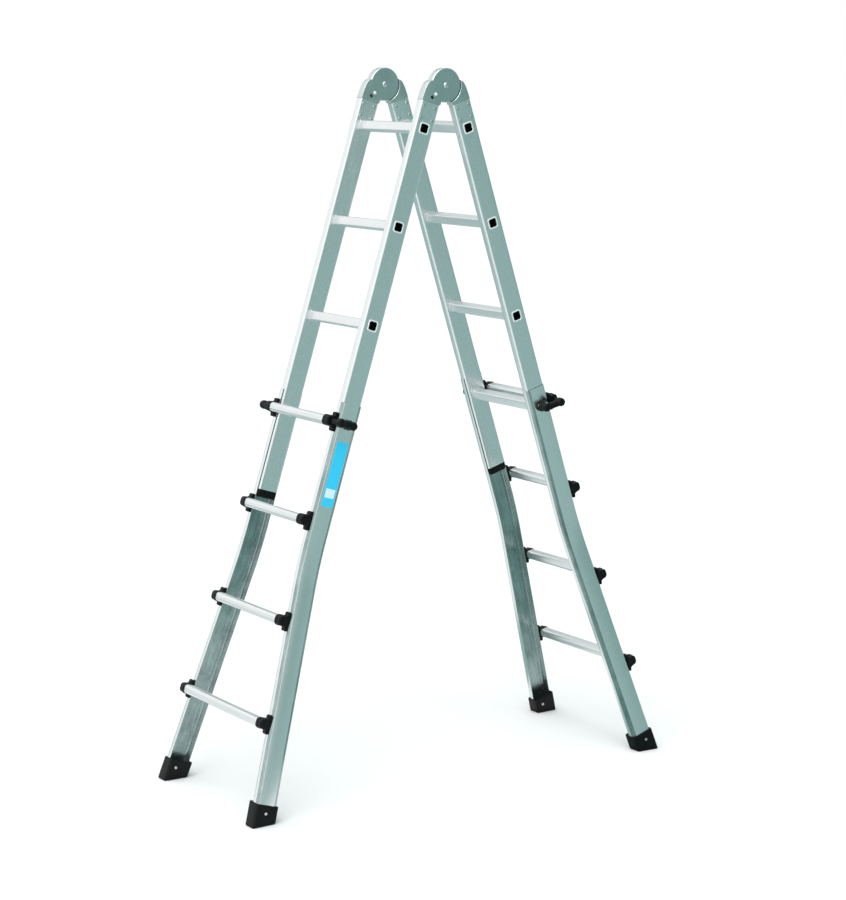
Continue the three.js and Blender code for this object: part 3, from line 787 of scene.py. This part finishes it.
def foot_screws(leg):
    """Screws through the outer and inner walls of a foot, square to its leaning faces."""
    inner, outer = FOOT_TOP_Y.min(), FOOT_TOP_Y.max()
    z = FOOT_HIGH.z - 22.5 * MM
    inner_x = LEG_X + (14 * MM if leg == "left" else -12 * MM)
    lean = Matrix.Rotation(-math.atan(FLARE_SLOPE), 4, "X")
    made = bmesh.new()
    for y, x, turn in ((outer, LEG_X + 3 * MM, 0), (inner, inner_x, math.pi)):
        one = screw(4.4 * MM, 1.6 * MM)
        place = Matrix.Translation((x, y + flare(-z), z)) @ lean @ Matrix.Rotation(turn, 4, "Z")
        bmesh.ops.transform(one, matrix=place, verts=one.verts)
        add(made, one)
    return made


LOCK_LOW, LOCK_HIGH = local_box("right_far_lock_handle")
LOCK_Z = (LOCK_LOW.z + LOCK_HIGH.z) / 2
RUNG_AXIS_X = sum(v.x for v in local_box("right_lower_rung_1")) / 2
HANDLE_REACH = 39.8 * MM


def lock_handle():
    """A moulded grip: a flanged boss over the pin, a thick bar, and a round end on the rung's axis."""
    out = LOCK_HIGH.y
    face = out - HANDLE_REACH
    bm = bmesh.new()
    boss = [(12.8, 0), (14.2, 0.7), (14.2, 2.6), (13.2, 4.2), (12.2, 6.0), (11.7, 8.5), (11.6, 12),
            (12.2, 23), (11.6, 27), (9.6, 29.6), (5.5, 30.8)]
    turned(bm, [(r * MM, face + y * MM) for r, y in boss], LEG_X, LOCK_Z, 40)
    end_knob = [(9, 17), (11.2, 18.4), (12.4, 21), (12.6, 30), (12.2, 35), (10.9, 38), (8.4, 39.5),
                (4, 39.8)]
    knob_x = RUNG_AXIS_X - 5 * MM
    turned(bm, [(r * MM, face + y * MM) for r, y in end_knob], knob_x, LOCK_Z, 40)
    low = LOCK_LOW.y / MM
    rod = [(5.5, low), (6.6, low + 0.8), (7, low + 2), (7, face / MM + 24)]
    turned(bm, [(r * MM, y * MM) for r, y in rod], RUNG_AXIS_X, LOCK_Z, 32)
    start = Vector((LEG_X, face + 20 * MM, LOCK_Z))
    end = Vector((knob_x, face + 29 * MM, LOCK_Z))
    along = (end - start).normalized()
    up = Vector((0, 0, 1))
    axes = Matrix((up.cross(along), up, along)).transposed()
    bar = bmesh.new()
    outline = rounded_rectangle(17 * MM, 20 * MM, 7 * MM)
    length = (end - start).length
    loft(bar, [[tuple(start + axes @ Vector((u, v, length * t))) for u, v in outline] for t in (0, 0.5, 1)])
    return moulded(joined(bm, bar), 0.9 * MM, 2)


def lock_pin():
    """The steel pin through the stile, into the end of an upper rung."""
    bm = bmesh.new()
    face = LOCK_HIGH.y - HANDLE_REACH
    pin = [(5.5, 173.6), (7.0, 174.4), (7.5, 175.6), (7.5, face / MM + 3)]
    return turned(bm, [(r * MM, y * MM) for r, y in pin], LEG_X, LOCK_Z, 32)


# ---- hinges ----
HINGE_THICKNESS = 26 * MM
DISC_RADIUS = 47 * MM
RELIEF_RADIUS = 49.5 * MM
DISC_STEPS = 128
PIVOT_BORE = 6.8 * MM
TONGUE_END = 117 * MM
TONGUE_CORNER = 3.5 * MM
TONGUE_GAP = 0.6 * MM
RIVET_ROWS = (72.5 * MM, 108 * MM)
RIVET_SPREAD = 18.5 * MM
LATCH_ANGLE = math.radians(37.5)
HALF_GAP = 0.15 * MM
RIVET_OUTSIDE = 1.4 * MM
RIVET_INSIDE = 2.2 * MM
LATCH_STOPS = (0.3, 35.1, 180)
RIM_CHAMFER = 1.6 * MM
RELIEF_CHAMFER = 0.9 * MM
LATCH_BOLT = (49.9 * MM, 62.2 * MM)
LATCH_BOLT_WIDTH = 8.4 * MM
LATCH_BOLT_DEPTH = 5 * MM
LATCH_SLOT_WIDTH = 9 * MM
LATCH_SLIT_WIDTH = 4.4 * MM
LATCH_TRACK_DEPTH = 6 * MM
INNER_BUTTON = 42.5 * MM
OUTER_BUTTON = 56 * MM
LATCH_WINDOW = (52.5 * MM, 61 * MM)
LATCH_TRACK = (35 * MM, 63 * MM)
NOTCH_DEPTH = 7 * MM
LATCH_SLIT = (35 * MM, 46 * MM)


def shoulder_outline():
    """The outline of a hinge half above the top of its stile."""
    front, back = STILE_HIGH.x - 0.5 * MM, STILE_LOW.x + 0.5 * MM
    bottom = STILE_HIGH.z + 0.3 * MM
    top = -0.6 * MM
    start, end = (front, bottom), (54 * MM, -5 * MM)
    return [start, *curve(start, (front - MM, -12 * MM), end), (RELIEF_RADIUS, top), (10 * MM, top),
            (2 * MM, -RELIEF_RADIUS), (2 * MM, -56 * MM), (back, bottom)]


def rivet(bm, x, y, z, sign, height):
    """A domed rivet head standing on a stile's face."""
    profile = [(4.9, -0.3), (5.0, 0.12), (4.8, 0.42), (4.2, 0.67), (3.2, 0.85), (1.8, 0.96), (0.7, 1)]
    turned(bm, [(r * MM, y + sign * h * height) for r, h in profile], x, z, 24)


def latch_place(bm):
    bmesh.ops.rotate(bm, verts=bm.verts, matrix=Matrix.Rotation(-LATCH_ANGLE, 3, "Y"))
    return bm


def hinge_half(centre_y, is_latch_half):
    """One casting: a disc on the leg's own +Y layer, a shoulder, and a tongue in the stile."""
    half = HINGE_THICKNESS / 2
    shoulder = prism(bmesh.new(), shoulder_outline(), centre_y - half, centre_y + half)
    shoulder = bevelled(shoulder, 1.2 * MM, 3, 25)
    bottom, top = centre_y - half, centre_y + half
    relief = [(RELIEF_RADIUS + RELIEF_CHAMFER, bottom - MM), (RELIEF_RADIUS + RELIEF_CHAMFER, bottom),
              (RELIEF_RADIUS, bottom + RELIEF_CHAMFER), (RELIEF_RADIUS, centre_y + HALF_GAP)]
    shoulder = cut(shoulder, turned(bmesh.new(), relief, steps=DISC_STEPS))
    rim = [(DISC_RADIUS, centre_y + HALF_GAP), (DISC_RADIUS, top - RIM_CHAMFER),
           (DISC_RADIUS - RIM_CHAMFER, top)]
    disc = turned(bmesh.new(), rim, steps=DISC_STEPS)
    tongue_depth = STILE_HIGH.x - STILE_LOW.x - 2 * STILE_WALL - TONGUE_GAP
    tongue_width = STILE_HIGH.y - STILE_LOW.y - 2 * STILE_WALL - TONGUE_GAP
    tongue_outline = rounded_rectangle(tongue_depth, tongue_width, TONGUE_CORNER)
    tongue = loft(bmesh.new(), [upright(tongue_outline, z, LEG_X, centre_y)
                                for z in (-TONGUE_END, STILE_HIGH.z + 2 * MM)])
    bm = joined(shoulder, disc, tongue)
    bm = cut(bm, turned(bmesh.new(), [(PIVOT_BORE, bottom - MM), (PIVOT_BORE, top + MM)]))
    if is_latch_half:
        slots = ((LATCH_SLOT_WIDTH, LATCH_WINDOW, top + MM), (LATCH_SLIT_WIDTH, LATCH_SLIT, top + MM),
                 (LATCH_SLOT_WIDTH, LATCH_TRACK, centre_y + LATCH_TRACK_DEPTH))
        for width, (start, end), reach in slots:
            slot = block(bmesh.new(), (-width / 2, bottom - MM, -end), (width / 2, reach, -start))
            bm = cut(bm, latch_place(slot))
    else:
        for stop in LATCH_STOPS:
            notch = latch_place(block(bmesh.new(), (-LATCH_SLOT_WIDTH / 2, bottom - MM, -DISC_RADIUS - MM),
                                      (LATCH_SLOT_WIDTH / 2, top + MM, NOTCH_DEPTH - DISC_RADIUS)))
            bmesh.ops.scale(notch, verts=notch.verts, vec=(-1, 1, 1))
            bmesh.ops.rotate(notch, verts=notch.verts, matrix=Matrix.Rotation(math.radians(stop), 3, "Y"))
            bm = cut(bm, notch)
    for row in RIVET_ROWS:
        for x in (LEG_X - RIVET_SPREAD, LEG_X + RIVET_SPREAD):
            for sign in (-1, 1):
                height = RIVET_OUTSIDE if sign * centre_y > 0 else RIVET_INSIDE
                rivet(bm, x, centre_y + sign * (STILE_HIGH.y - STILE_LOW.y) / 2, -row, sign, height)
    return bm


def pivot_bolt():
    """A turned bolt with a low dome on each end."""
    low, high = local_box("far_hinge_pivot_bolt", "left")
    middle = (low.y + high.y) / 2
    grip = HINGE_THICKNESS / 2 + 0.2 * MM
    head = (high.y - low.y) / 2 - grip
    half = [(2.0, head), (3.8, head * 0.94), (5.6, head * 0.78), (7.1, head * 0.5), (8.1, head * 0.2),
            (8.5, -0.2 * MM)]
    profile = [(r * MM, -grip - h) for r, h in half] + [(6.4 * MM, -grip), (6.4 * MM, grip)]
    profile += [(r * MM, grip + h) for r, h in reversed(half)]
    bm = turned(bmesh.new(), profile, steps=40)
    bmesh.ops.translate(bm, verts=bm.verts, vec=(0, middle, 0))
    return bm


def hinge_highlight_paint(face):
    """1, a lighter copy of the casting as a painted highlight, on the outer edges of a hinge half, and 0,
    the darker casting, on its flat sides and rivets.
    """
    above_stile = face.calc_center_median().z > STILE_HIGH.z
    return 1 if above_stile and abs(face.normal.y) < 0.85 else 0


def latch_button(face, radius, sign):
    """A domed thumb button on a face of the hinge, at a distance from the pivot."""
    profile = [(4.4, 0.2), (4.9, 0.4), (5.0, 1.2), (4.8, 2.2), (4.1, 3.2), (3.0, 3.9), (1.7, 4.3),
               (0.6, 4.4)]
    return turned(bmesh.new(), [(r * MM, face + sign * h * MM) for r, h in profile], 0, -radius)


def hinge_latch(side_of_ladder):
    """The sliding bolt, deep in its slot, with a thumb button on the disc's face.

    The far latch also has a button on the outside of the ladder."""
    centre_y = side_of_ladder * STILE_Y
    half = HINGE_THICKNESS / 2
    bottom = centre_y - half + 0.3 * MM
    deep = centre_y + LATCH_BOLT_DEPTH
    edge = LATCH_BOLT_WIDTH / 2
    inner, outer = LATCH_BOLT
    bm = block(bmesh.new(), (-edge, bottom, -outer), (edge, deep, -inner))
    bm = bevelled(bm, 0.5 * MM, 2)
    bar = block(bmesh.new(), (-3.6 * MM, centre_y + MM, -53 * MM), (3.6 * MM, deep, -42 * MM))
    top = centre_y + half
    stem = block(bmesh.new(), (-1.9 * MM, centre_y + 2 * MM, -45 * MM), (1.9 * MM, top + 0.8 * MM, -42 * MM))
    bm = joined(bm, bar, stem, latch_button(top, INNER_BUTTON, 1))
    if side_of_ladder < 0:
        neck = turned(bmesh.new(), [(3.7 * MM, bottom + 3 * MM), (3.7 * MM, centre_y - half - 0.8 * MM)],
                      0, -OUTER_BUTTON)
        bm = joined(bm, neck, latch_button(centre_y - half, OUTER_BUTTON, -1))
    return latch_place(bm)


def latch_shade_and_highlight_paint(face):
    """1, near-black as painted shade, on the bolt inside the hinge, and 0, whiter steel as a painted
    highlight, on the thumb buttons outside it.
    """
    return 1 if abs(abs(face.calc_center_median().y) - STILE_Y) < HINGE_THICKNESS / 2 else 0


# ---- sticker ----
STICKER_TOP = -1.023
STICKER_BOTTOM = -1.205
STICKER_HALF_WIDTH = 19 * MM


def sticker():
    """A thin printed film on the flat of the web."""
    middle = (STICKER_TOP + STICKER_BOTTOM) / 2
    length = STICKER_TOP - STICKER_BOTTOM
    outline = rounded_rectangle(2 * STICKER_HALF_WIDTH, length, 2 * MM)
    inset = rounded_rectangle(2 * STICKER_HALF_WIDTH - 0.3 * MM, length - 0.3 * MM, 1.85 * MM)
    base = CHANNEL_OUTER + 0.05 * MM
    loops = [crosswise(outline, base, LEG_X, middle), crosswise(outline, base + 0.15 * MM, LEG_X, middle),
             crosswise(inset, base + 0.25 * MM, LEG_X, middle)]
    return loft(bmesh.new(), loops)


# ---- assembly ----
def build():
    stile_master = upper_stile()
    rung_master = upper_rung()
    cap_master = guide_cap()
    channel_master = lower_stile()
    foot_master = foot()
    handle_master = lock_handle()
    pin_master = lock_pin()
    bolt_master = pivot_bolt()
    connector_masters = {number: rung_connector(number) for number in (1, 2)}
    second = local_box("right_far_rung_connector_2")[0]
    for leg in LEG_NAMES:
        upper, lower = f"{leg}_upper_section", f"{leg}_lower_section"
        screw_master = foot_screws(leg)
        for number in RUNG_NUMBERS:
            node = f"{leg}_upper_rung_{number}"
            z = (LEGS[leg].inverted() @ centre(node)).z
            piece(f"{node}_tube", shifted(rung_master, (0, 0, z)), leg, upper, (RUNG_ALUMINIUM, BORE_SHADE, RIM_HIGHLIGHT),
                  (node,), rung_shade_and_highlight_paint(z))
            node = f"{leg}_lower_rung_{number}"
            piece(f"{node}_tread", lower_rung(number), leg, lower, (TREAD_ALUMINIUM,),
                  (node,))
        for side in SIDE_NAMES:
            sign = side_sign(leg, side)
            where = f"{leg}_{side}"
            piece(f"{where}_upper_stile_tube", on_side(stile_master, sign), leg, upper, (UPPER_ALUMINIUM,),
                  (f"{where}_upper_stile",))
            piece(f"{where}_guide_plug", on_side(cap_master, sign), leg, upper, (PLASTIC,),
                  (f"{where}_guide_cap",))
            piece(f"{where}_channel", on_side(channel_master, sign), leg, lower,
                  (LOWER_ALUMINIUM, CHANNEL_INSIDE_SHADE), (f"{where}_lower_stile",),
                  channel_shade_paint)
            piece(f"{where}_shoe", on_side(foot_master, sign), leg, lower, (PLASTIC,),
                  (f"{where}_foot",))
            piece(f"{where}_shoe_screws", on_side(screw_master, sign), leg, lower, (STEEL,))
            piece(f"{where}_grip", on_side(handle_master, sign), leg, f"{where}_lock", (PLASTIC,),
                  (f"{where}_lock_handle",))
            piece(f"{where}_lock_pin", on_side(pin_master, sign), leg, f"{where}_lock", (STEEL,))
            for number in RUNG_NUMBERS:
                node = f"{where}_rung_connector_{number}"
                master = connector_masters[min(number, 2)]
                offset = Vector((0, 0, 0))
                if number > 2:
                    offset = local_box(f"right_far_rung_connector_{number}")[0] - second
                placed = on_side(shifted(master, offset), sign)
                piece(f"{node}_moulding", placed, leg, lower, (PLASTIC,), (node,))
            half = hinge_half(sign * STILE_Y, leg == "left")
            node = f"{side}_hinge_{leg}_half"
            piece(f"{node}_casting", half, leg, upper, (CASTING, CAST_EDGE_HIGHLIGHT), (node,),
                  hinge_highlight_paint)
    for side in SIDE_NAMES:
        sign = side_sign("left", side)
        piece(f"{side}_pivot", on_side(bolt_master, -sign), "left", "left_upper_section", (STEEL,),
              (f"{side}_hinge_pivot_bolt",))
        piece(f"{side}_latch_button", hinge_latch(sign), "left", f"{side}_latch",
              (BUTTON_HIGHLIGHT_STEEL, LATCH_BOLT_SHADE), (f"{side}_hinge_latch",), latch_shade_and_highlight_paint)
    panel = STICKER_HALF_WIDTH - 4 * MM
    along = (STICKER_BOTTOM + 25 * MM, STICKER_BOTTOM + 50 * MM)
    film = sticker_film("sticker_film", (0.035, 0.66, 1.0), (0.030, 0.60, 0.97), (0.74, 0.93, 0.98),
                        LEG_X - panel, LEG_X + panel, along)
    piece("plain_sticker", on_side(sticker(), side_sign("left", "near")), "left", "left_lower_section",
          (film,))


build()


# ---- floor, light and camera ----
FLOOR_RADIUS = 60
FLOOR_PALE = (0.86, 0.86, 0.864, 1)
FLOOR_COOL = (0.29, 0.415, 0.40, 1)
FLOOR_BACK = (0.33, 0.43, 0.425, 1)
COOL_SIDE = (0.55, -0.83, 0)
EDGE_SIDE = (0.62, 0.78, 0)


def floor():
    bm = bmesh.new()
    bmesh.ops.create_circle(bm, cap_ends=True, segments=96, radius=FLOOR_RADIUS)
    mesh = bpy.data.meshes.new("floor")
    bm.to_mesh(mesh)
    bm.free()
    obj = bpy.data.objects.new("floor", mesh)
    bpy.context.scene.collection.objects.link(obj)
    mesh.materials.append(floor_paint())


def floor_paint():
    """Pale paint to the eye. Bounced light finds it cool and dim in three places, like dark studio flags:
    in front on the right, in a narrow strip behind on the right, and greyer far behind."""
    material = bpy.data.materials.new("floor_paint")
    material.use_nodes = True
    tree = material.node_tree
    place = tree.nodes.new("ShaderNodeTexCoord").outputs["Object"]
    level = vector_maths(tree, "NORMALIZE", place).outputs["Vector"]
    front = fade(tree, vector_maths(tree, "DOT_PRODUCT", level, COOL_SIDE).outputs["Value"], 0.45, 0.80)
    edge = fade(tree, vector_maths(tree, "DOT_PRODUCT", level, EDGE_SIDE).outputs["Value"], 0.955, 0.975)
    behind = fade(tree, vector_maths(tree, "DOT_PRODUCT", place, (0, 1, 0)).outputs["Value"], 0.4, 2.8)
    shade = colour_mix(tree, behind, FLOOR_PALE, FLOOR_BACK)
    shade = colour_mix(tree, front, shade, FLOOR_COOL)
    shade = colour_mix(tree, edge, shade, FLOOR_COOL)
    bounced = tree.nodes.new("ShaderNodeBsdfDiffuse")
    tree.links.new(shade, bounced.inputs["Color"])
    seen = tree.nodes.new("ShaderNodeBsdfDiffuse")
    seen.inputs["Color"].default_value = FLOOR_PALE
    surface = tree.nodes["Material Output"].inputs["Surface"]
    seen_or_bounced(tree, seen.outputs["BSDF"], bounced.outputs["BSDF"], surface)
    return material


def seen_or_bounced(tree, seen, bounced, surface):
    """Gives surface one shader for what the camera sees directly, and another for all other light."""
    path = tree.nodes.new("ShaderNodeLightPath")
    choose = tree.nodes.new("ShaderNodeMixShader")
    tree.links.new(path.outputs["Is Camera Ray"], choose.inputs["Fac"])
    tree.links.new(bounced, choose.inputs[1])
    tree.links.new(seen, choose.inputs[2])
    tree.links.new(choose.outputs["Shader"], surface)


def vector_maths(tree, operation, vector, other=None):
    node = tree.nodes.new("ShaderNodeVectorMath")
    node.operation = operation
    tree.links.new(vector, node.inputs[0])
    if other:
        node.inputs[1].default_value = other
    return node


def fade(tree, value, start, end):
    """0 below start, 1 above end, and smooth between them."""
    node = tree.nodes.new("ShaderNodeMapRange")
    node.interpolation_type = "SMOOTHSTEP"
    node.inputs["From Min"].default_value = start
    node.inputs["From Max"].default_value = end
    tree.links.new(value, node.inputs["Value"])
    return node.outputs["Result"]


def colour_mix(tree, factor, first, second):
    node = tree.nodes.new("ShaderNodeMix")
    node.data_type = "RGBA"
    tree.links.new(factor, node.inputs["Factor"])
    for socket, colour in ((node.inputs[6], first), (node.inputs[7], second)):
        if isinstance(colour, tuple):
            socket.default_value = colour
        else:
            tree.links.new(colour, socket)
    return node.outputs[2]


BRIGHT_SIDE = (-0.85, 0.15, 0.50)


def world():
    """A soft surround, white to the eye. Its light is white behind and to the left, and dim and cool to
    the front right."""
    made = bpy.data.worlds.new("studio")
    made.use_nodes = True
    tree = made.node_tree
    background = tree.nodes["Background"]
    place = tree.nodes.new("ShaderNodeTexCoord").outputs["Generated"]
    dot = vector_maths(tree, "DOT_PRODUCT", place, Vector(BRIGHT_SIDE).normalized())
    ramp = tree.nodes.new("ShaderNodeValToRGB")
    stretch = tree.nodes.new("ShaderNodeMapRange")
    stretch.inputs["From Min"].default_value = -1
    tree.links.new(dot.outputs["Value"], stretch.inputs["Value"])
    tree.links.new(stretch.outputs["Result"], ramp.inputs["Fac"])
    stops = ((0.0, (0.20, 0.36, 0.34)), (0.30, (0.27, 0.42, 0.40)), (0.52, (0.66, 0.73, 0.73)),
             (0.74, (1.08, 1.08, 1.09)), (1.0, (1.22, 1.22, 1.22)))
    while len(ramp.color_ramp.elements) < len(stops):
        ramp.color_ramp.elements.new(0.5)
    for element, (at, colour) in zip(ramp.color_ramp.elements, stops):
        element.position = at
        element.color = (*colour, 1)
    tree.links.new(ramp.outputs["Color"], background.inputs["Color"])
    seen = tree.nodes.new("ShaderNodeBackground")
    seen.inputs["Color"].default_value = (1, 1, 1, 1)
    surface = tree.nodes["World Output"].inputs["Surface"]
    seen_or_bounced(tree, seen.outputs["Background"], background.outputs["Background"], surface)
    bpy.context.scene.world = made


def sun(name, direction, strength, angle):
    data = bpy.data.lights.new(name, "SUN")
    data.energy = strength
    data.angle = math.radians(angle)
    obj = bpy.data.objects.new(name, data)
    bpy.context.scene.collection.objects.link(obj)
    obj.rotation_euler = Vector(direction).to_track_quat("-Z", "Y").to_euler()


CAMERA_PLACE = (-3.699, -5.697, 2.045)
CAMERA_YAW = math.radians(33.24)
CAMERA_PITCH = math.radians(9.30)
CAMERA_LENS = 95.6


def camera():
    data = bpy.data.cameras.new("camera")
    data.lens = CAMERA_LENS
    data.clip_end = 500
    obj = bpy.data.objects.new("camera", data)
    bpy.context.scene.collection.objects.link(obj)
    obj.location = CAMERA_PLACE
    obj.rotation_euler = (math.pi / 2 - CAMERA_PITCH, 0, -CAMERA_YAW)
    bpy.context.scene.camera = obj


floor()
world()
sun("key", (0.55, 0.45, -0.95), 1.5, 50)
camera()
bpy.context.scene.view_settings.view_transform = "Standard"
